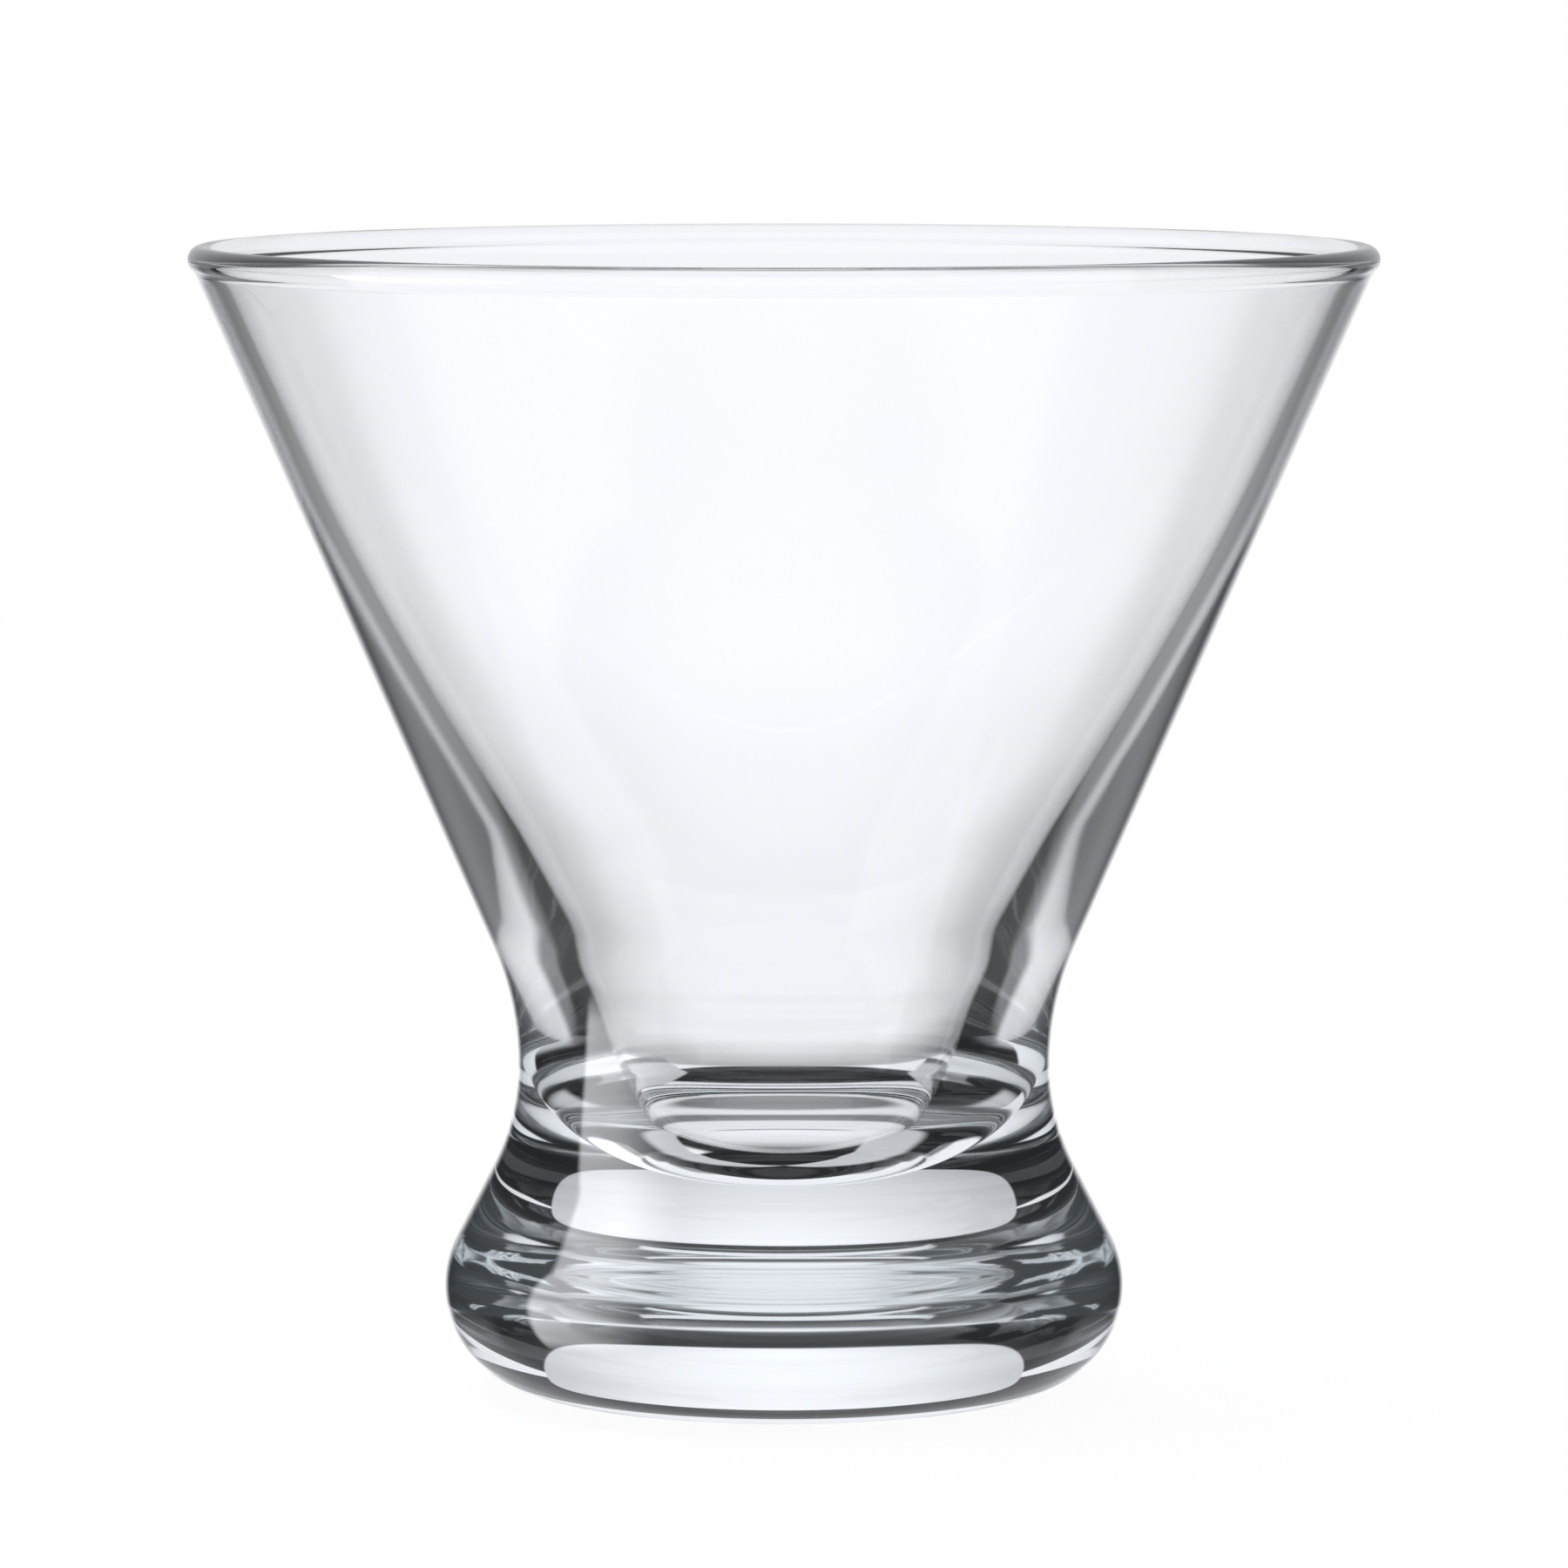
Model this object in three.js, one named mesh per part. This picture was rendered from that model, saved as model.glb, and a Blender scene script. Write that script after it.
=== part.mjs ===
// A stemless martini glass in millimetres, +Z up.
// The origin is the middle of the ring that the glass stands on.
// Bowl and foot are closed sections turned about the Z axis, and meet on one flat face.

import * as THREE from 'three';

// Driving dimensions of the outside
const HEIGHT = 104.25; // table to the crest of the rim
const RIM_DIAMETER = 107.8; // across the outside of the rim bead
const WAIST_DIAMETER = 48.5; // at the narrowest place
const WAIST_HEIGHT = 29.6; // table to the narrowest place
const UPPER_WAIST_RADIUS = 27.4; // hollow curve from the waist into the cone
const LOWER_WAIST_RADIUS = 20.5; // hollow curve from the waist into the foot
const FOOT_DIAMETER = 62; // at the widest place of the foot
const BULGE_RADIUS = 9.3; // round edge of the foot

// Driving dimensions of the rim
const RIM_WALL = 2; // wall just under the bead
const BEAD_PROUD = 0.25; // how far the bead stands out of the wall on each side
const BEAD_NECK_RADIUS = 2; // soft corner between the wall and the bead

// Driving dimensions of the inside
const SHOULDER_RISE = 38.6; // waist up to where the inner cone eases
const SHOULDER_WALL = 2.8; // wall there, measured square to the axis
const SHOULDER_BLEND = 330; // radius of that soft corner
const WELL_RISE = 9.9; // waist up to the mouth of the narrow well
const WELL_WALL = 5.45; // glass between the waist and the mouth of the well
const WELL_BLEND = 50; // radius of the rounded mouth of the well
const WELL_TAPER = 6.6; // how much narrower the well is at its floor, on the radius
const FLOOR_BLEND = 12; // radius between the well and its floor
const FLOOR_GLASS = 3.3; // glass of the bowl under the floor of the well

// Driving dimensions of the underside
const STANDING_RING = 3.7; // width of the flat ring that touches the table
const HOLLOW_DEPTH = 0.8; // depth of the shallow hollow inside the ring

// Fineness of the round forms
const TURN_STEPS = 48;
const CURVE_STEPS = 6;
const BEAD_STEPS = 10;
const NECK_STEPS = 2;
const BULGE_STEPS = 12;

// A point of the section: distance from the axis, and height.
const at = (radius, height) => new THREE.Vector2(radius, height);

// The point at a distance and direction from another point.
const offset = (from, distance, angle) => at(
  from.x + distance * Math.cos(angle),
  from.y + distance * Math.sin(angle),
);

// Points along an arc, both ends included.
function arc(centre, radius, from, to, steps) {
  return Array.from(
    { length: steps + 1 },
    (_, step) => offset(centre, radius, from + ((to - from) * step) / steps),
  );
}

// Direction square to the straight wall that runs between two circles,
// one in the glass and one in the air, pointing into the air.
function wallNormal(glass, glassRadius, air, airRadius, turn) {
  const across = air.clone().sub(glass);
  const lean = Math.acos((glassRadius + airRadius) / across.length());
  return Math.atan2(across.y, across.x) + turn * lean;
}

// A path whose inner corners are rounded. Where two corners share a side, each takes at most half of it.
function rounded(points, radii) {
  const path = [points[0]];
  radii.forEach((radius, index) => {
    const corner = points[index + 1];
    const back = points[index].clone().sub(corner);
    const ahead = points[index + 2].clone().sub(corner);
    const roomBack = index === 0 ? back.length() : back.length() / 2;
    const roomAhead = index === radii.length - 1 ? ahead.length() : ahead.length() / 2;
    back.normalize();
    ahead.normalize();
    const half = Math.acos(back.dot(ahead)) / 2;
    const cut = Math.min(radius / Math.tan(half), roomBack, roomAhead);
    const inward = back.clone().add(ahead).normalize();
    const centre = corner.clone().addScaledVector(inward, cut / Math.cos(half));
    const start = corner.clone().addScaledVector(back, cut).sub(centre);
    const bend = Math.sign(ahead.cross(back)) * (Math.PI - 2 * half);
    const from = Math.atan2(start.y, start.x);
    path.push(...arc(centre, start.length(), from, from + bend, CURVE_STEPS));
  });
  path.push(points[points.length - 1]);
  return path;
}

// Foot: round edge, straight flare above it, and the seam where the two meet.
const footCentre = at(FOOT_DIAMETER / 2 - BULGE_RADIUS, BULGE_RADIUS);
const waistRadius = WAIST_DIAMETER / 2;
const inset = waistRadius - footCentre.x;
const climb = WAIST_HEIGHT - footCentre.y;
const waistRoom = (inset ** 2 + climb ** 2 - BULGE_RADIUS ** 2) / (2 * (BULGE_RADIUS - inset));
const lowerWaistRadius = inset < BULGE_RADIUS ? Math.min(LOWER_WAIST_RADIUS, waistRoom) : LOWER_WAIST_RADIUS;
const lowerWaist = at(waistRadius + lowerWaistRadius, WAIST_HEIGHT);
const flareNormal = wallNormal(footCentre, BULGE_RADIUS, lowerWaist, lowerWaistRadius, -1);
const seam = offset(footCentre, BULGE_RADIUS, flareNormal);

// Bowl: outer cone, drawn between the waist curve and the rim.
const halfWall = RIM_WALL / 2;
const beadRadius = halfWall + BEAD_PROUD;
const bead = at(RIM_DIAMETER / 2 - beadRadius, HEIGHT - beadRadius);
const upperWaist = at(waistRadius + UPPER_WAIST_RADIUS, WAIST_HEIGHT);
const coneNormal = wallNormal(bead, halfWall, upperWaist, UPPER_WAIST_RADIUS, 1);
const coneTop = offset(bead, halfWall, coneNormal);
const coneRadius = (height) => coneTop.x + (coneTop.y - height) * Math.tan(coneNormal);

// Bowl: corners of the inside, from the shoulder down to the floor of the well.
const shoulderHeight = WAIST_HEIGHT + SHOULDER_RISE;
const shoulder = at(coneRadius(shoulderHeight) - SHOULDER_WALL, shoulderHeight);
const wellMouth = at(waistRadius - WELL_WALL, WAIST_HEIGHT + WELL_RISE);
const wellFloor = at(wellMouth.x - WELL_TAPER, seam.y + FLOOR_GLASS);
const fromShoulder = bead.clone().sub(shoulder);
const innerLean = Math.atan2(fromShoulder.x, fromShoulder.y) - Math.asin(halfWall / fromShoulder.length());
const innerNormal = Math.PI - innerLean;

// Rim: the bead, and the soft corners that lead into it from the wall.
const neckDistance = beadRadius + BEAD_NECK_RADIUS;
const tuck = Math.acos((halfWall + BEAD_NECK_RADIUS) / neckDistance);
const beadStart = coneNormal - tuck;
const beadEnd = innerNormal + tuck;
const outerNeck = offset(bead, neckDistance, beadStart);
const innerNeck = offset(bead, neckDistance, beadEnd);
const innerTop = offset(innerNeck, BEAD_NECK_RADIUS, innerNormal - Math.PI);

function bowlSection() {
  const outside = [
    at(0, seam.y),
    seam,
    ...arc(lowerWaist, lowerWaistRadius, Math.PI + flareNormal, Math.PI, CURVE_STEPS),
    ...arc(upperWaist, UPPER_WAIST_RADIUS, Math.PI, Math.PI + coneNormal, CURVE_STEPS).slice(1),
  ];
  const rim = [
    ...arc(outerNeck, BEAD_NECK_RADIUS, coneNormal + Math.PI, beadStart + Math.PI, NECK_STEPS),
    ...arc(bead, beadRadius, beadStart, beadEnd, BEAD_STEPS).slice(1),
    ...arc(innerNeck, BEAD_NECK_RADIUS, beadEnd - Math.PI, innerNormal - Math.PI, NECK_STEPS).slice(1, -1),
  ];
  const inside = rounded(
    [innerTop, shoulder, wellMouth, wellFloor, at(0, wellFloor.y)],
    [SHOULDER_BLEND, WELL_BLEND, FLOOR_BLEND],
  );
  return [...outside, ...rim, ...inside];
}

function footSection() {
  const hollowRadius = footCentre.x - STANDING_RING;
  const domeRadius = (hollowRadius ** 2 + HOLLOW_DEPTH ** 2) / (2 * HOLLOW_DEPTH);
  const domeHalf = Math.asin(hollowRadius / domeRadius);
  const domeCentre = at(0, HOLLOW_DEPTH - domeRadius);
  const hollow = arc(domeCentre, domeRadius, Math.PI / 2, Math.PI / 2 - domeHalf, CURVE_STEPS);
  const edge = arc(footCentre, BULGE_RADIUS, -Math.PI / 2, flareNormal, BULGE_STEPS);
  return [at(0, HOLLOW_DEPTH), ...hollow.slice(1, -1), at(hollowRadius, 0), ...edge, at(0, seam.y)];
}

// A section turned about the Z axis as one piece of clear glass.
function turned(name, section) {
  const geometry = new THREE.LatheGeometry(section, TURN_STEPS);
  geometry.rotateX(Math.PI / 2);
  const material = new THREE.MeshStandardMaterial({
    color: 0xf2f6f5,
    roughness: 0.02,
    metalness: 0,
    transparent: true,
    opacity: 0.35,
  });
  const mesh = new THREE.Mesh(geometry, material);
  mesh.name = name;
  return mesh;
}

const group = new THREE.Group();
group.add(turned('bowl', bowlSection()));
group.add(turned('foot', footSection()));

export default group;
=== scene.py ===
# A clear stemless martini glass, photographed against white.

import math

import bpy
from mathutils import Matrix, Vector


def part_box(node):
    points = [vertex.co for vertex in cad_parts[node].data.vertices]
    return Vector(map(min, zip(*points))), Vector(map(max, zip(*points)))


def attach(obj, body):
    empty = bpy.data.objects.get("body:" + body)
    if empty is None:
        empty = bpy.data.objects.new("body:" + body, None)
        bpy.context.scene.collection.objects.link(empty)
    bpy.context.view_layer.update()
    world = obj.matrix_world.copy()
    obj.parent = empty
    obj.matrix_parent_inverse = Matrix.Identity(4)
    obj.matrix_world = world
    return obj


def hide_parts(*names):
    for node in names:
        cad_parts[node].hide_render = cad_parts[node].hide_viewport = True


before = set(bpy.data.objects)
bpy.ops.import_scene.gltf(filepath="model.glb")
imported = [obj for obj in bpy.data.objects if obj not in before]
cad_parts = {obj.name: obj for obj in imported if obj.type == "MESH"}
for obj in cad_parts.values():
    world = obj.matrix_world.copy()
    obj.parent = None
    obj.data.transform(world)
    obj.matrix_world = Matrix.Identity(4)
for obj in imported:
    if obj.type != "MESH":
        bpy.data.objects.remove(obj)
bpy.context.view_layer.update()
bowl_low, bowl_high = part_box("bowl")

# Section of the glass, in metres. The overall sizes and the seam are the frame's.
HEIGHT = bowl_high.z
RIM_RADIUS = bowl_high.x
SEAM_HEIGHT = bowl_low.z
WAIST_RADIUS = 0.02425
WAIST_HEIGHT = 0.0296
UPPER_WAIST_RADIUS = 0.0274
LOWER_WAIST_RADIUS = 0.0205
FOOT_RADIUS = 0.031
BULGE_RADIUS = 0.0093
RIM_WALL = 0.002
BEAD_PROUD = 0.00025
BEAD_NECK_RADIUS = 0.002
SHOULDER_RISE = 0.0386
SHOULDER_WALL = 0.0028
SHOULDER_BLEND = 0.33
WELL_RISE = 0.0099
WELL_WALL = 0.00545
WELL_BLEND = 0.05
WELL_TAPER = 0.0066
FLOOR_BLEND = 0.012
FLOOR_GLASS = 0.0033
STANDING_RING = 0.0037
HOLLOW_DEPTH = 0.0008

# Fineness of the round forms
TURN_STEPS = 216
ARC_STEP = math.radians(2.5)
STRAIGHT_STEP = 0.0008
SAME_POINT = 1e-7

# Glass
GLASS_IOR = 1.52
GLASS_TINT = (0.87, 0.93, 0.95, 1)
TINT_DENSITY = 8.0
WAVE_SCALE = 45.0
WAVE_DEPTH = 0.00002
SMOOTHEST = 0.01
ROUGHEST = 0.05

# Camera
CAMERA_PLACE = Vector((0, -0.81654, 0.13516))
CAMERA_TARGET = Vector((0, 0, 0.055157))
SENSOR_WIDTH = 36
PICTURE_WIDTH = 1800
FOCAL_PIXELS = 10344.1

# Counts that tell rays apart: passages through the glass's surface, and reflections
AT_ALL = 0.5
BOTH_WALLS = 3.5
SEVERAL_MIRRORS = 2.5
TRAPPED_MIRRORS = 8.5

# Longest paths of light
MOST_BOUNCES = 64
GLASS_BOUNCES = 48

# Levels and colours of light, where 1 is white
PURE_WHITE = (1, 1, 1, 1)
COOL_LIGHT = (0.95, 0.96, 1, 1)
WHITE = 1.0
BOWL_WHITE = 1.12
GREY = 0.25
DARK = 0.02
TRAPPED_LIGHT = 0.08
MANY_LOW = 0.12
MANY_HIGH = 0.95
SIDE_TABLE = 0.6
FAR_FLOOR = 0.8
DIFFUSE_LIGHT = 0.6

# Edges in the studio. Bearings are measured from straight behind the glass, climbs from the horizon.
WHITE_EDGE = math.radians(19)
GREY_EDGE = math.radians(31)
GRAZING_EDGE = math.radians(16)
SIDE_EDGE = math.radians(58)
OPEN_SIDE = math.radians(75)
LEFT_EDGE = math.radians(86)
RIGHT_EDGE = math.radians(108)
MANY_TOP = math.radians(65)
CEILING = math.radians(45)
OPEN_TOP = math.radians(27)
HORIZON = math.radians(12)
FLOOR_EDGE = math.radians(-16)
TABLE = math.radians(-28)
TABLE_NEAR = math.radians(-35)
TABLE_UNDER = math.radians(-50)
EDGE_BLUR = math.radians(2)
WHITE_BLUR = math.radians(4)
WIDE_BLUR = math.radians(6)

# Soft box on the left, seen in the front reflections
BOX_LIGHT = 7.0
BOX_LEFT = math.radians(84)
BOX_RIGHT = math.radians(118)
BOX_FADE = math.radians(18)
BOX_TOP = math.radians(50)

# Bright panel behind the foot
PANEL_DISTANCE = 0.19
PANEL_HALF_WIDTH = 0.104
PANEL_LOW = -0.075
PANEL_HIGH = 0.046
PANEL_MIDDLE_LIGHT = 1.08
PANEL_SIDE_LIGHT = 0.7
PANEL_FOOT_LIGHT = 0.72
PANEL_ROUNDING = 5
PANEL_BLUR = 0.05

# White ring round the upper glass
RING_RADIUS = 0.075
RING_LOW = 0.055
RING_HIGH = 0.4
RIM_RING_LOW = 0.1
RIM_RING_BLUR = 0.004
RIM_RING_LIGHT = 0.7

# Floor
FLOOR_RADIUS = 0.9
FLOOR_DROP = 0.0003
FLOOR_OPEN = 0.11
FLOOR_OPEN_BLUR = 0.015
FLOOR_GLOW = 0.94
FLOOR_COLOUR = (0.08, 0.08, 0.08, 1)

# Shade on the floor, as seen through the bowl
SHADE_NARROWING = 0.5
SHADE_START = 0.03
SHADE_END = 0.08
SHADE_LEVEL = 0.25
FADE_START = 0.1
FADE_END = 0.4
FADE_LEVEL = 0.9
SIDE_SHADE = 0.28
SIDE_SHADE_START = 0.015
SIDE_SHADE_END = 0.05
SIDE_SHADE_NEAR = 0.09
SIDE_SHADE_FAR = 0.18

# Light that the glass gathers on the floor, as seen through the bowl
FOCUS = 0.9
FOCUS_MIDDLE = 0.014
FOCUS_EDGE = 0.0315
FOCUS_RING_IN = 0.035
FOCUS_RING_OUT = 0.038
FOCUS_BLUR = 0.001

# Lamp above the floor
LAMP_PLACE = Vector((-0.15, 0.1, 0.7))
LAMP_SIZE = 0.6
LAMP_POWER = 4


def at(radius, height):
    return Vector((radius, height))


def offset(point, distance, angle):
    return point + distance * Vector((math.cos(angle), math.sin(angle)))


def arc(centre, radius, start, end):
    turn = abs(end - start)
    steps = math.ceil(max(turn / ARC_STEP, turn * radius / STRAIGHT_STEP))
    return [offset(centre, radius, start + (end - start) * step / steps) for step in range(steps + 1)]


def wall_normal(glass, glass_radius, air, air_radius, turn):
    """Direction into the air, square to the wall between a circle in the glass and one in the air."""
    across = air - glass
    lean = math.acos((glass_radius + air_radius) / across.length)
    return math.atan2(across.y, across.x) + turn * lean


def rounded(points, radii):
    """A path with rounded inner corners. Where two corners share a side, each takes at most half of it."""
    path = [points[0]]
    for index, radius in enumerate(radii):
        corner = points[index + 1]
        back = points[index] - corner
        ahead = points[index + 2] - corner
        room_back = back.length if index == 0 else back.length / 2
        room_ahead = ahead.length if index == len(radii) - 1 else ahead.length / 2
        back.normalize()
        ahead.normalize()
        half = back.angle(ahead) / 2
        cut = min(radius / math.tan(half), room_back, room_ahead)
        centre = corner + (back + ahead).normalized() * cut / math.cos(half)
        spoke = corner + back * cut - centre
        bend = math.copysign(math.pi - 2 * half, ahead.cross(back))
        start = math.atan2(spoke.y, spoke.x)
        path += arc(centre, spoke.length, start, start + bend)
    return path + [points[-1]]


def filled(path):
    """The path with points added along its long straights, and with doubled points left out."""
    points = [path[0]]
    for point in path[1:]:
        start = points[-1]
        span = point - start
        if span.length < SAME_POINT:
            continue
        steps = max(1, round(span.length / STRAIGHT_STEP))
        points += [start + span * step / steps for step in range(1, steps + 1)]
    return points


def glass_section():
    """Half the glass's outline, from the middle of the underside to the middle of the well's floor."""
    foot_centre = at(FOOT_RADIUS - BULGE_RADIUS, BULGE_RADIUS)
    lower_waist = at(WAIST_RADIUS + LOWER_WAIST_RADIUS, WAIST_HEIGHT)
    flare = wall_normal(foot_centre, BULGE_RADIUS, lower_waist, LOWER_WAIST_RADIUS, -1)
    half_wall = RIM_WALL / 2
    bead_radius = half_wall + BEAD_PROUD
    bead = at(RIM_RADIUS - bead_radius, HEIGHT - bead_radius)
    upper_waist = at(WAIST_RADIUS + UPPER_WAIST_RADIUS, WAIST_HEIGHT)
    cone = wall_normal(bead, half_wall, upper_waist, UPPER_WAIST_RADIUS, 1)
    cone_top = offset(bead, half_wall, cone)

    shoulder_height = WAIST_HEIGHT + SHOULDER_RISE
    cone_radius = cone_top.x + (cone_top.y - shoulder_height) * math.tan(cone)
    shoulder = at(cone_radius - SHOULDER_WALL, shoulder_height)
    well_mouth = at(WAIST_RADIUS - WELL_WALL, WAIST_HEIGHT + WELL_RISE)
    well_floor = at(well_mouth.x - WELL_TAPER, SEAM_HEIGHT + FLOOR_GLASS)
    rise = bead - shoulder
    inner = math.pi - math.atan2(rise.x, rise.y) + math.asin(half_wall / rise.length)

    neck_distance = bead_radius + BEAD_NECK_RADIUS
    tuck = math.acos((half_wall + BEAD_NECK_RADIUS) / neck_distance)
    bead_start = cone - tuck
    bead_end = inner + tuck
    outer_neck = offset(bead, neck_distance, bead_start)
    inner_neck = offset(bead, neck_distance, bead_end)
    inner_top = offset(inner_neck, BEAD_NECK_RADIUS, inner - math.pi)

    hollow_radius = foot_centre.x - STANDING_RING
    dome_radius = (hollow_radius ** 2 + HOLLOW_DEPTH ** 2) / (2 * HOLLOW_DEPTH)
    dome_half = math.asin(hollow_radius / dome_radius)
    dome_centre = at(0, HOLLOW_DEPTH - dome_radius)
    return filled([
        *arc(dome_centre, dome_radius, math.pi / 2, math.pi / 2 - dome_half),
        *arc(foot_centre, BULGE_RADIUS, -math.pi / 2, flare),
        *arc(lower_waist, LOWER_WAIST_RADIUS, math.pi + flare, math.pi),
        *arc(upper_waist, UPPER_WAIST_RADIUS, math.pi, math.pi + cone),
        *arc(outer_neck, BEAD_NECK_RADIUS, math.pi + cone, math.pi + bead_start),
        *arc(bead, bead_radius, bead_start, bead_end),
        *arc(inner_neck, BEAD_NECK_RADIUS, bead_end - math.pi, inner - math.pi),
        *rounded(
            [inner_top, shoulder, well_mouth, well_floor, at(0, well_floor.y)],
            [SHOULDER_BLEND, WELL_BLEND, FLOOR_BLEND],
        ),
    ])


def circle(radius, height):
    """Points of a level circle round the glass's axis."""
    turns = [2 * math.pi * step / TURN_STEPS for step in range(TURN_STEPS)]
    return [(radius * math.cos(turn), radius * math.sin(turn), height) for turn in turns]


def mesh_piece(name, corners, faces):
    mesh = bpy.data.meshes.new(name)
    mesh.from_pydata(corners, [], faces)
    piece = bpy.data.objects.new(name, mesh)
    bpy.context.scene.collection.objects.link(piece)
    return piece


def turned(name, section):
    """The section turned about the Z axis. It starts and ends on the axis."""
    corners = [(0, 0, section[0].y)]
    for point in section[1:-1]:
        corners += circle(point.x, point.y)
    corners.append((0, 0, section[-1].y))
    last = len(corners) - 1
    top = last - TURN_STEPS
    faces = []
    for step in range(TURN_STEPS):
        beside = (step + 1) % TURN_STEPS
        faces.append((0, 1 + beside, 1 + step))
        faces.append((top + step, top + beside, last))
        for ring in range(len(section) - 3):
            low = 1 + ring * TURN_STEPS
            high = low + TURN_STEPS
            faces.append((low + step, low + beside, high + beside, high + step))
    piece = mesh_piece(name, corners, faces)
    piece.data.shade_smooth()
    return piece


class Graph:
    """Short words for building a node tree."""

    def __init__(self, tree):
        self.tree = tree
        self.tree.nodes.clear()

    def node(self, kind, settings=None, **inputs):
        """A new shader node. An input's name has an underscore for each space."""
        made = self.tree.nodes.new("ShaderNode" + kind)
        for name, value in (settings or {}).items():
            setattr(made, name, value)
        for name, value in inputs.items():
            self.feed(made.inputs[name.replace("_", " ")], value)
        return made

    def feed(self, socket, value):
        if isinstance(value, bpy.types.NodeSocket):
            self.tree.links.new(value, socket)
        else:
            socket.default_value = value

    def math(self, operation, *values):
        made = self.node("Math", {"operation": operation})
        for socket, value in zip(made.inputs, values):
            self.feed(socket, value)
        return made.outputs[0]

    def product(self, values):
        result = values[0]
        for value in values[1:]:
            result = self.math("MULTIPLY", result, value)
        return result

    def total(self, values):
        result = values[0]
        for value in values[1:]:
            result = self.math("ADD", result, value)
        return result

    def distance(self, aside, along):
        return self.math("SQRT", self.total([self.math("POWER", aside, 2), self.math("POWER", along, 2)]))

    def ramp(self, value, start, end, low=0, high=1):
        """From low before the start to high after the end, in a soft step."""
        ends = {"From_Min": start, "From_Max": end, "To_Min": low, "To_Max": high}
        return self.node("MapRange", {"interpolation_type": "SMOOTHSTEP"}, Value=value, **ends).outputs[0]

    def past(self, value, edge, blur=EDGE_BLUR):
        return self.ramp(value, edge - blur, edge + blur)

    def short_of(self, value, edge, blur=EDGE_BLUR):
        return self.math("SUBTRACT", 1, self.past(value, edge, blur))

    def mixed(self, share, first, second):
        """The second shader for its share, and the first for the rest."""
        made = self.node("MixShader")
        for socket, value in zip(made.inputs, (share, first, second)):
            self.feed(socket, value)
        return made.outputs[0]

    def chosen(self, choice, shader):
        """Ends the material in the shader for the chosen rays, and in nothing for the others."""
        clear = self.node("BsdfTransparent")
        self.node("OutputMaterial", Surface=self.mixed(choice, clear.outputs[0], shader))


def dressed(piece, name):
    """Gives the piece a new, empty material, and returns the graph to fill it with."""
    material = bpy.data.materials.new(name)
    material.use_nodes = True
    piece.data.materials.append(material)
    return Graph(material.node_tree)


def clear_glass(piece):
    graph = dressed(piece, "clear_glass")
    waves = graph.node("TexNoise", Vector=graph.node("TexCoord").outputs["Object"], Scale=WAVE_SCALE)
    polish = graph.ramp(waves.outputs[0], 0, 1, SMOOTHEST, ROUGHEST)
    surface = graph.node("Bump", Height=waves.outputs[0], Distance=WAVE_DEPTH)
    shader = graph.node(
        "BsdfPrincipled",
        Base_Color=PURE_WHITE,
        Roughness=polish,
        IOR=GLASS_IOR,
        Normal=surface.outputs[0],
        Transmission_Weight=1,
    )
    tint = graph.node("VolumeAbsorption", Color=GLASS_TINT, Density=TINT_DENSITY)
    graph.node("OutputMaterial", Surface=shader.outputs[0], Volume=tint.outputs[0])


def ray_kinds(graph):
    """How a ray came to where it looks: 1 or 0 for each kind."""
    path = graph.node("LightPath")
    passages = path.outputs["Transmission Depth"]
    mirrors = path.outputs["Glossy Depth"]
    mirrored = graph.math("GREATER_THAN", mirrors, AT_ALL)
    unmirrored = graph.math("SUBTRACT", 1, mirrored)
    inside = graph.math("GREATER_THAN", passages, AT_ALL)
    outside = graph.math("SUBTRACT", 1, inside)
    both_walls = graph.math("GREATER_THAN", passages, BOTH_WALLS)
    one_body = graph.math("SUBTRACT", inside, both_walls)
    trapped = graph.math("GREATER_THAN", mirrors, TRAPPED_MIRRORS)
    several = graph.math("GREATER_THAN", mirrors, SEVERAL_MIRRORS)
    few = graph.math("SUBTRACT", mirrored, several)
    many = graph.math("SUBTRACT", several, trapped)
    return {
        "camera": path.outputs["Is Camera Ray"],
        "bowl": graph.product([both_walls, unmirrored]),
        "solid": graph.product([one_body, unmirrored]),
        "inner": graph.product([inside, few]),
        "many": graph.product([inside, many]),
        "trapped": graph.product([inside, trapped]),
        "front": graph.product([outside, mirrored]),
        "diffuse": path.outputs["Is Diffuse Ray"],
    }


def light_colour(graph, kinds):
    """White as the camera sees it, slightly cool as the glass does."""
    mixed = graph.node("MixRGB", Fac=kinds["camera"], Color1=COOL_LIGHT, Color2=PURE_WHITE)
    return mixed.outputs[0]


def studio_parts(graph):
    """Where a ray looks: its angles, and 0 to 1 for each part of the studio."""
    towards = graph.node("SeparateXYZ", Vector=graph.node("TexCoord").outputs["Generated"])
    bearing = graph.math("ARCTAN2", towards.outputs["X"], towards.outputs["Y"])
    leftward = graph.math("MULTIPLY", bearing, -1)
    aside = graph.math("ABSOLUTE", bearing)
    climb = graph.math("ARCSINE", towards.outputs["Z"])
    camera_side = graph.total([graph.past(leftward, LEFT_EDGE), graph.past(bearing, RIGHT_EDGE)])
    return {
        "leftward": leftward,
        "aside": aside,
        "climb": climb,
        "camera_side": camera_side,
        "beside": graph.math("SUBTRACT", graph.past(aside, SIDE_EDGE, WIDE_BLUR), camera_side),
        "ceiling": graph.past(climb, CEILING, WIDE_BLUR),
        "table": graph.short_of(climb, TABLE, WIDE_BLUR),
    }


def solid_light(graph, parts):
    """What rays straight through solid glass see past the panel, the ring and the floor."""
    open_side = graph.past(parts["aside"], OPEN_SIDE, WIDE_BLUR)
    open_under = graph.short_of(parts["climb"], TABLE_UNDER, WIDE_BLUR)
    open_top = graph.past(parts["climb"], OPEN_TOP)
    opened = graph.math("MAXIMUM", graph.math("MAXIMUM", open_side, open_under), open_top)
    return graph.math("MAXIMUM", opened, DARK)


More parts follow.
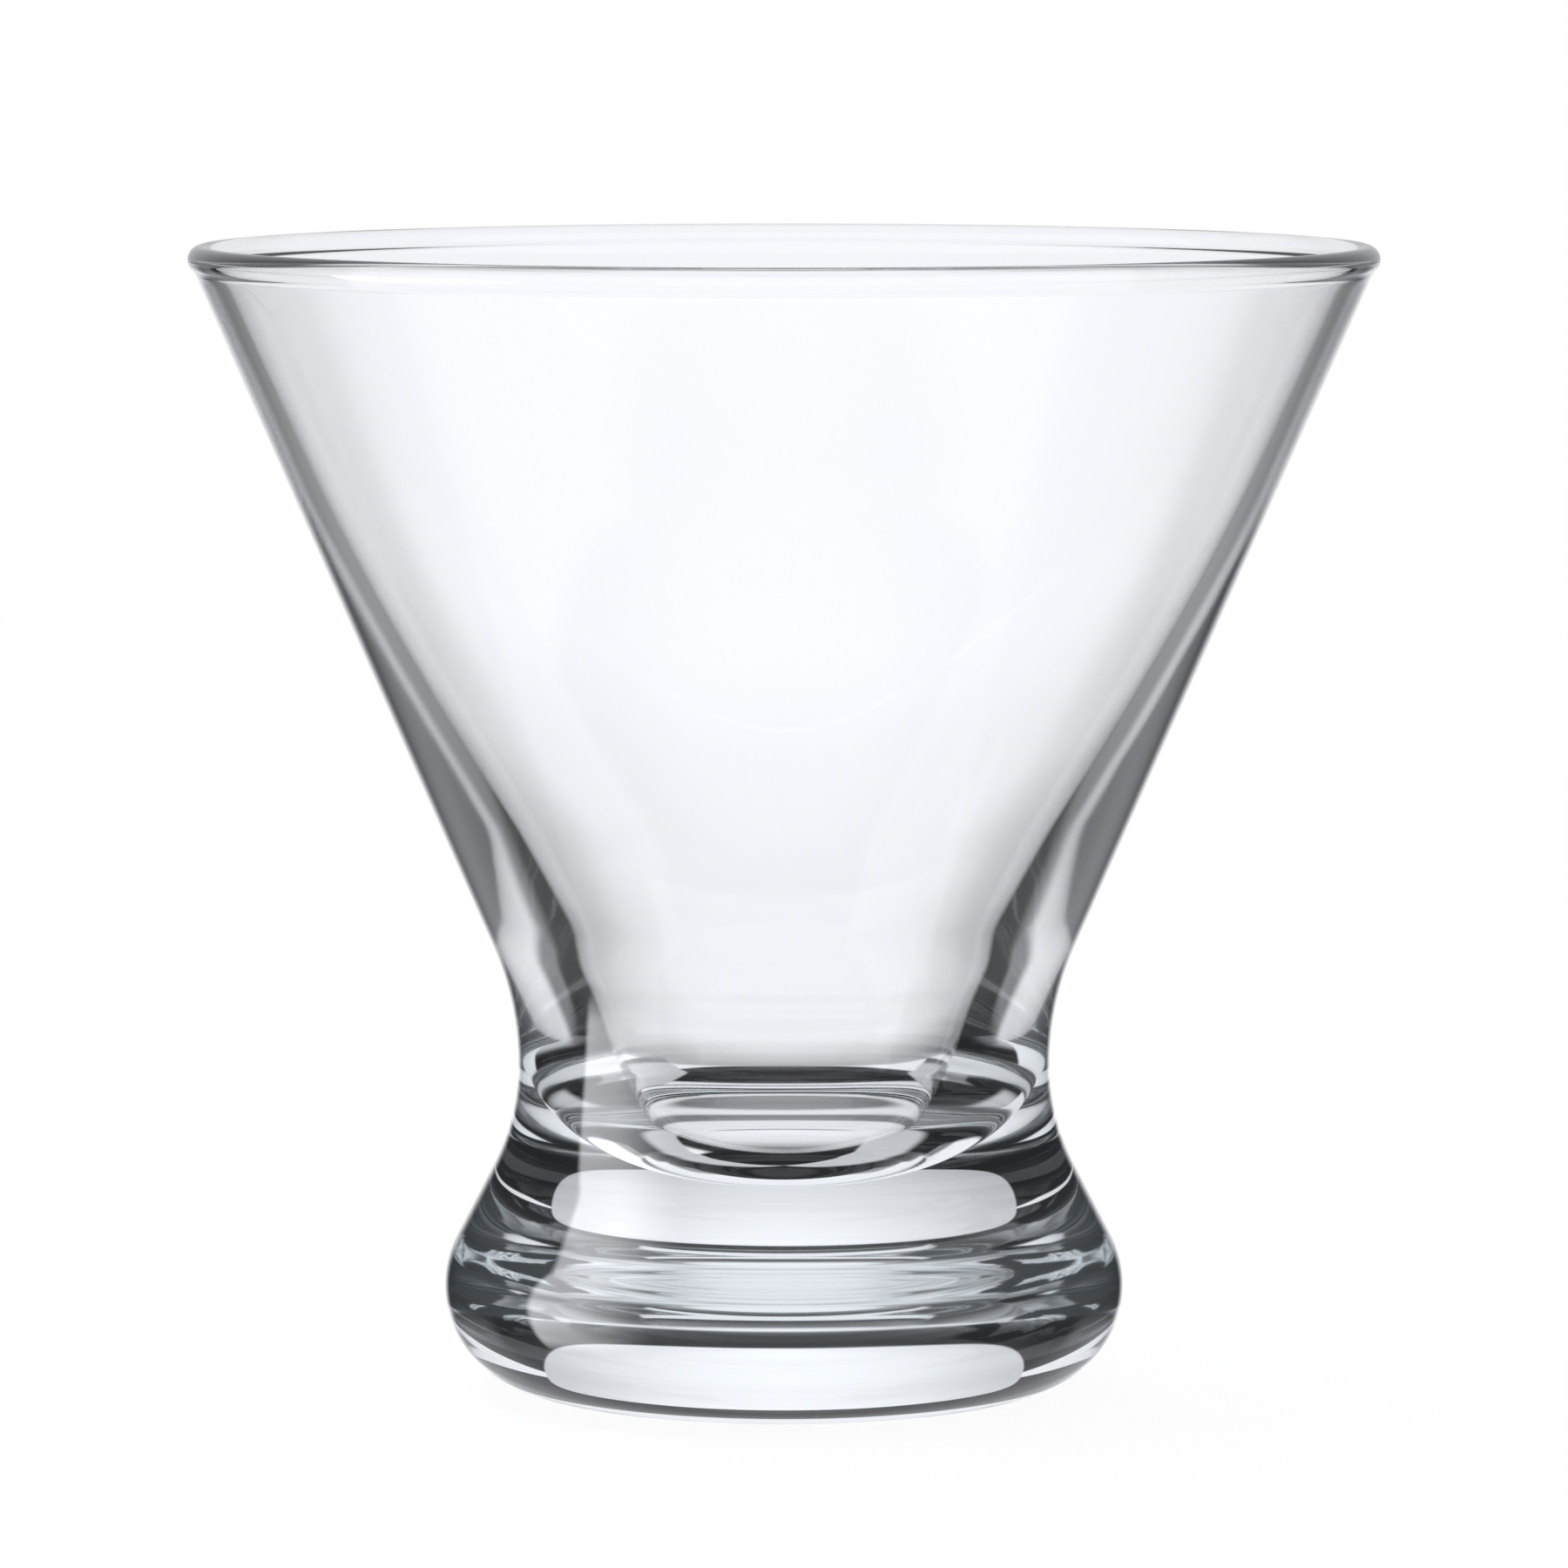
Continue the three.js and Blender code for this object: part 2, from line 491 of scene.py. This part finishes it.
def inner_light(graph, parts):
    """What rays see that were reflected once or twice inside the glass."""
    climb = parts["climb"]
    aside = parts["aside"]
    behind = graph.product([graph.past(climb, TABLE_NEAR), graph.short_of(climb, CEILING, WIDE_BLUR)])
    before = graph.product([graph.past(climb, TABLE_UNDER), graph.short_of(climb, HORIZON)])
    return graph.total([
        graph.product([behind, graph.short_of(aside, WHITE_EDGE, WHITE_BLUR), WHITE - GREY]),
        graph.product([behind, graph.short_of(aside, GREY_EDGE), GREY]),
        graph.product([before, parts["camera_side"]]),
        graph.product([parts["table"], parts["beside"], SIDE_TABLE]),
        parts["ceiling"],
        DARK,
    ])


def front_light(graph, parts):
    """What shows in the reflections on the outside of the glass."""
    climb = parts["climb"]
    aside = parts["aside"]
    low = graph.short_of(climb, FLOOR_EDGE, WIDE_BLUR)
    grazing = graph.math("SUBTRACT", graph.short_of(climb, HORIZON), low)
    soft_box = graph.product([
        graph.past(parts["leftward"], BOX_LEFT),
        graph.short_of(parts["leftward"], BOX_RIGHT, BOX_FADE),
        graph.past(climb, TABLE, WIDE_BLUR),
        graph.short_of(climb, BOX_TOP, WIDE_BLUR),
        BOX_LIGHT,
    ])
    return graph.total([
        soft_box,
        graph.product([parts["table"], parts["camera_side"]]),
        graph.product([parts["table"], parts["beside"], SIDE_TABLE]),
        graph.product([low, graph.short_of(aside, SIDE_EDGE, WIDE_BLUR), FAR_FLOOR]),
        graph.product([grazing, graph.short_of(aside, GRAZING_EDGE, WIDE_BLUR)]),
        parts["ceiling"],
        DARK,
    ])


def studio_world():
    """White for the camera and through the bowl. Other rays see a studio of their own kind."""
    world = bpy.data.worlds.new("studio")
    bpy.context.scene.world = world
    world.use_nodes = True
    graph = Graph(world.node_tree)
    kinds = ray_kinds(graph)
    parts = studio_parts(graph)
    seen = graph.total([
        kinds["camera"],
        graph.product([kinds["bowl"], BOWL_WHITE]),
        graph.product([kinds["solid"], solid_light(graph, parts)]),
        graph.product([kinds["inner"], inner_light(graph, parts)]),
        graph.product([kinds["many"], graph.ramp(parts["climb"], 0, MANY_TOP, MANY_LOW, MANY_HIGH)]),
        graph.product([kinds["trapped"], TRAPPED_LIGHT]),
        graph.product([kinds["front"], front_light(graph, parts)]),
        graph.product([kinds["diffuse"], DIFFUSE_LIGHT]),
    ])
    background = graph.node("Background", Color=light_colour(graph, kinds), Strength=seen)
    graph.node("OutputWorld", Surface=background.outputs[0])


def staged(name, corners, faces):
    piece = mesh_piece(name, corners, faces)
    return piece


def left_to_glass(piece):
    """Hides the piece from the camera, plain surfaces and shadows, so that only the glass shows it."""
    piece.visible_camera = False
    piece.visible_diffuse = False
    piece.visible_shadow = False


def backdrop_panel():
    """A bright panel with rounded corners, which rays straight through the solid glass see."""
    sides = ((-1, PANEL_LOW), (1, PANEL_LOW), (1, PANEL_HIGH), (-1, PANEL_HIGH))
    corners = [(side * PANEL_HALF_WIDTH, PANEL_DISTANCE, height) for side, height in sides]
    panel = staged("backdrop_panel", corners, [(0, 1, 2, 3)])
    left_to_glass(panel)
    graph = dressed(panel, "lit_white")
    place = graph.node("SeparateXYZ", Vector=graph.node("NewGeometry").outputs["Position"])
    aside = graph.math("ABSOLUTE", place.outputs["X"])
    height = place.outputs["Z"]
    across_light = graph.ramp(aside, 0, PANEL_HALF_WIDTH, PANEL_MIDDLE_LIGHT, PANEL_SIDE_LIGHT)
    height_light = graph.ramp(height, PANEL_LOW, PANEL_HIGH, PANEL_FOOT_LIGHT, WHITE)
    light = graph.node("Emission", Color=COOL_LIGHT, Strength=graph.product([across_light, height_light]))
    middle = (PANEL_LOW + PANEL_HIGH) / 2
    off_middle = graph.math("ABSOLUTE", graph.math("SUBTRACT", height, middle))
    outline = graph.total([
        graph.math("POWER", graph.math("DIVIDE", aside, PANEL_HALF_WIDTH), PANEL_ROUNDING),
        graph.math("POWER", graph.math("DIVIDE", off_middle, PANEL_HIGH - middle), PANEL_ROUNDING),
    ])
    lit = graph.short_of(outline, 1 - PANEL_BLUR, PANEL_BLUR)
    graph.chosen(graph.product([ray_kinds(graph)["solid"], lit]), light.outputs[0])


def white_ring():
    """A card round the upper glass. Rays through one wall see all of it, the rim reflects its upper part."""
    corners = circle(RING_RADIUS, RING_LOW) + circle(RING_RADIUS, RING_HIGH)
    faces = []
    for step in range(TURN_STEPS):
        beside = (step + 1) % TURN_STEPS
        faces.append((step, beside, beside + TURN_STEPS, step + TURN_STEPS))
    ring = staged("white_ring", corners, faces)
    left_to_glass(ring)
    graph = dressed(ring, "ring_white")
    kinds = ray_kinds(graph)
    height = graph.node("SeparateXYZ", Vector=graph.node("NewGeometry").outputs["Position"]).outputs["Z"]
    beside_rim = graph.product([kinds["front"], graph.past(height, RIM_RING_LOW, RIM_RING_BLUR)])
    level = graph.total([kinds["solid"], graph.product([kinds["front"], RIM_RING_LIGHT])])
    light = graph.node("Emission", Color=COOL_LIGHT, Strength=level)
    graph.chosen(graph.total([kinds["solid"], beside_rim]), light.outputs[0])


def floor_shade(graph, aside, along, reach):
    """Level of the floor with the shade of the foot and a softer one on either side of it."""
    away = graph.distance(graph.math("MULTIPLY", aside, SHADE_NARROWING), along)
    beside = graph.ramp(aside, SIDE_SHADE_START, SIDE_SHADE_END)
    near = graph.ramp(reach, SIDE_SHADE_NEAR, SIDE_SHADE_FAR, SIDE_SHADE, 0)
    return graph.product([
        graph.ramp(away, SHADE_START, SHADE_END, SHADE_LEVEL, BOWL_WHITE),
        graph.ramp(reach, FADE_START, FADE_END, FADE_LEVEL, WHITE),
        graph.math("SUBTRACT", 1, graph.product([beside, near])),
    ])


def floor_focus(graph, reach):
    """Level of the light that the glass gathers: a patch with a darker middle, and a ring round it."""
    patch = graph.product([
        graph.ramp(reach, 0, FOCUS_MIDDLE, SHADE_LEVEL, FOCUS),
        graph.short_of(reach, FOCUS_EDGE, FOCUS_BLUR),
    ])
    ring = graph.product([
        graph.past(reach, FOCUS_RING_IN, FOCUS_BLUR),
        graph.short_of(reach, FOCUS_RING_OUT, FOCUS_BLUR),
        FOCUS,
    ])
    return graph.total([patch, ring])


def white_floor():
    """A pale floor. The bowl shows shade and gathered light on it, solid glass only its outer part."""
    floor = staged("floor", circle(FLOOR_RADIUS, -FLOOR_DROP), [tuple(range(TURN_STEPS))])
    graph = dressed(floor, "pale_floor")
    kinds = ray_kinds(graph)
    place = graph.node("SeparateXYZ", Vector=graph.node("NewGeometry").outputs["Position"])
    aside = graph.math("ABSOLUTE", place.outputs["X"])
    along = graph.math("ABSOLUTE", place.outputs["Y"])
    reach = graph.distance(aside, along)
    through_bowl = graph.math("MAXIMUM", floor_shade(graph, aside, along, reach), floor_focus(graph, reach))
    before_panel = graph.math("MULTIPLY", place.outputs["Y"], PANEL_HALF_WIDTH / PANEL_DISTANCE)
    outer_part = graph.product([
        kinds["solid"],
        graph.math("GREATER_THAN", aside, before_panel),
        graph.past(reach, FLOOR_OPEN, FLOOR_OPEN_BLUR),
    ])
    directly = graph.total([kinds["camera"], kinds["diffuse"]])
    glow = graph.node("Emission", Color=light_colour(graph, kinds), Strength=graph.total([
        graph.product([directly, FLOOR_GLOW]),
        graph.product([kinds["bowl"], through_bowl]),
        kinds["solid"],
    ]))
    pale = graph.node("AddShader")
    graph.feed(pale.inputs[0], glow.outputs[0])
    graph.feed(pale.inputs[1], graph.node("BsdfDiffuse", Color=FLOOR_COLOUR).outputs[0])
    through_glass = graph.total([kinds["bowl"], kinds["solid"]])
    surface = graph.mixed(through_glass, pale.outputs[0], glow.outputs[0])
    graph.chosen(graph.total([directly, kinds["bowl"], outer_part]), surface)


def soft_lamp():
    """A large lamp above, for the soft shadow on the floor. The glass doesn't show it."""
    lamp = bpy.data.lights.new("overhead", "AREA")
    lamp.shape = "SQUARE"
    lamp.size = LAMP_SIZE
    lamp.energy = LAMP_POWER
    holder = bpy.data.objects.new("overhead", lamp)
    holder.location = LAMP_PLACE
    holder.rotation_euler = LAMP_PLACE.to_track_quat("Z", "Y").to_euler()
    holder.visible_glossy = False
    holder.visible_transmission = False
    bpy.context.scene.collection.objects.link(holder)


def photo_camera():
    camera = bpy.data.cameras.new("camera")
    camera.sensor_width = SENSOR_WIDTH
    camera.lens = FOCAL_PIXELS * SENSOR_WIDTH / PICTURE_WIDTH
    holder = bpy.data.objects.new("camera", camera)
    holder.location = CAMERA_PLACE
    holder.rotation_euler = (CAMERA_TARGET - CAMERA_PLACE).to_track_quat("-Z", "Y").to_euler()
    bpy.context.scene.collection.objects.link(holder)
    bpy.context.scene.camera = holder


photo_camera()
studio_world()
backdrop_panel()
white_ring()
white_floor()
soft_lamp()

glass = turned("glass", glass_section())
clear_glass(glass)
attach(glass, "root")
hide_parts("bowl", "foot")

scene = bpy.context.scene
scene.view_settings.view_transform = "Standard"
scene.cycles.max_bounces = MOST_BOUNCES
scene.cycles.transmission_bounces = GLASS_BOUNCES
scene.cycles.glossy_bounces = GLASS_BOUNCES
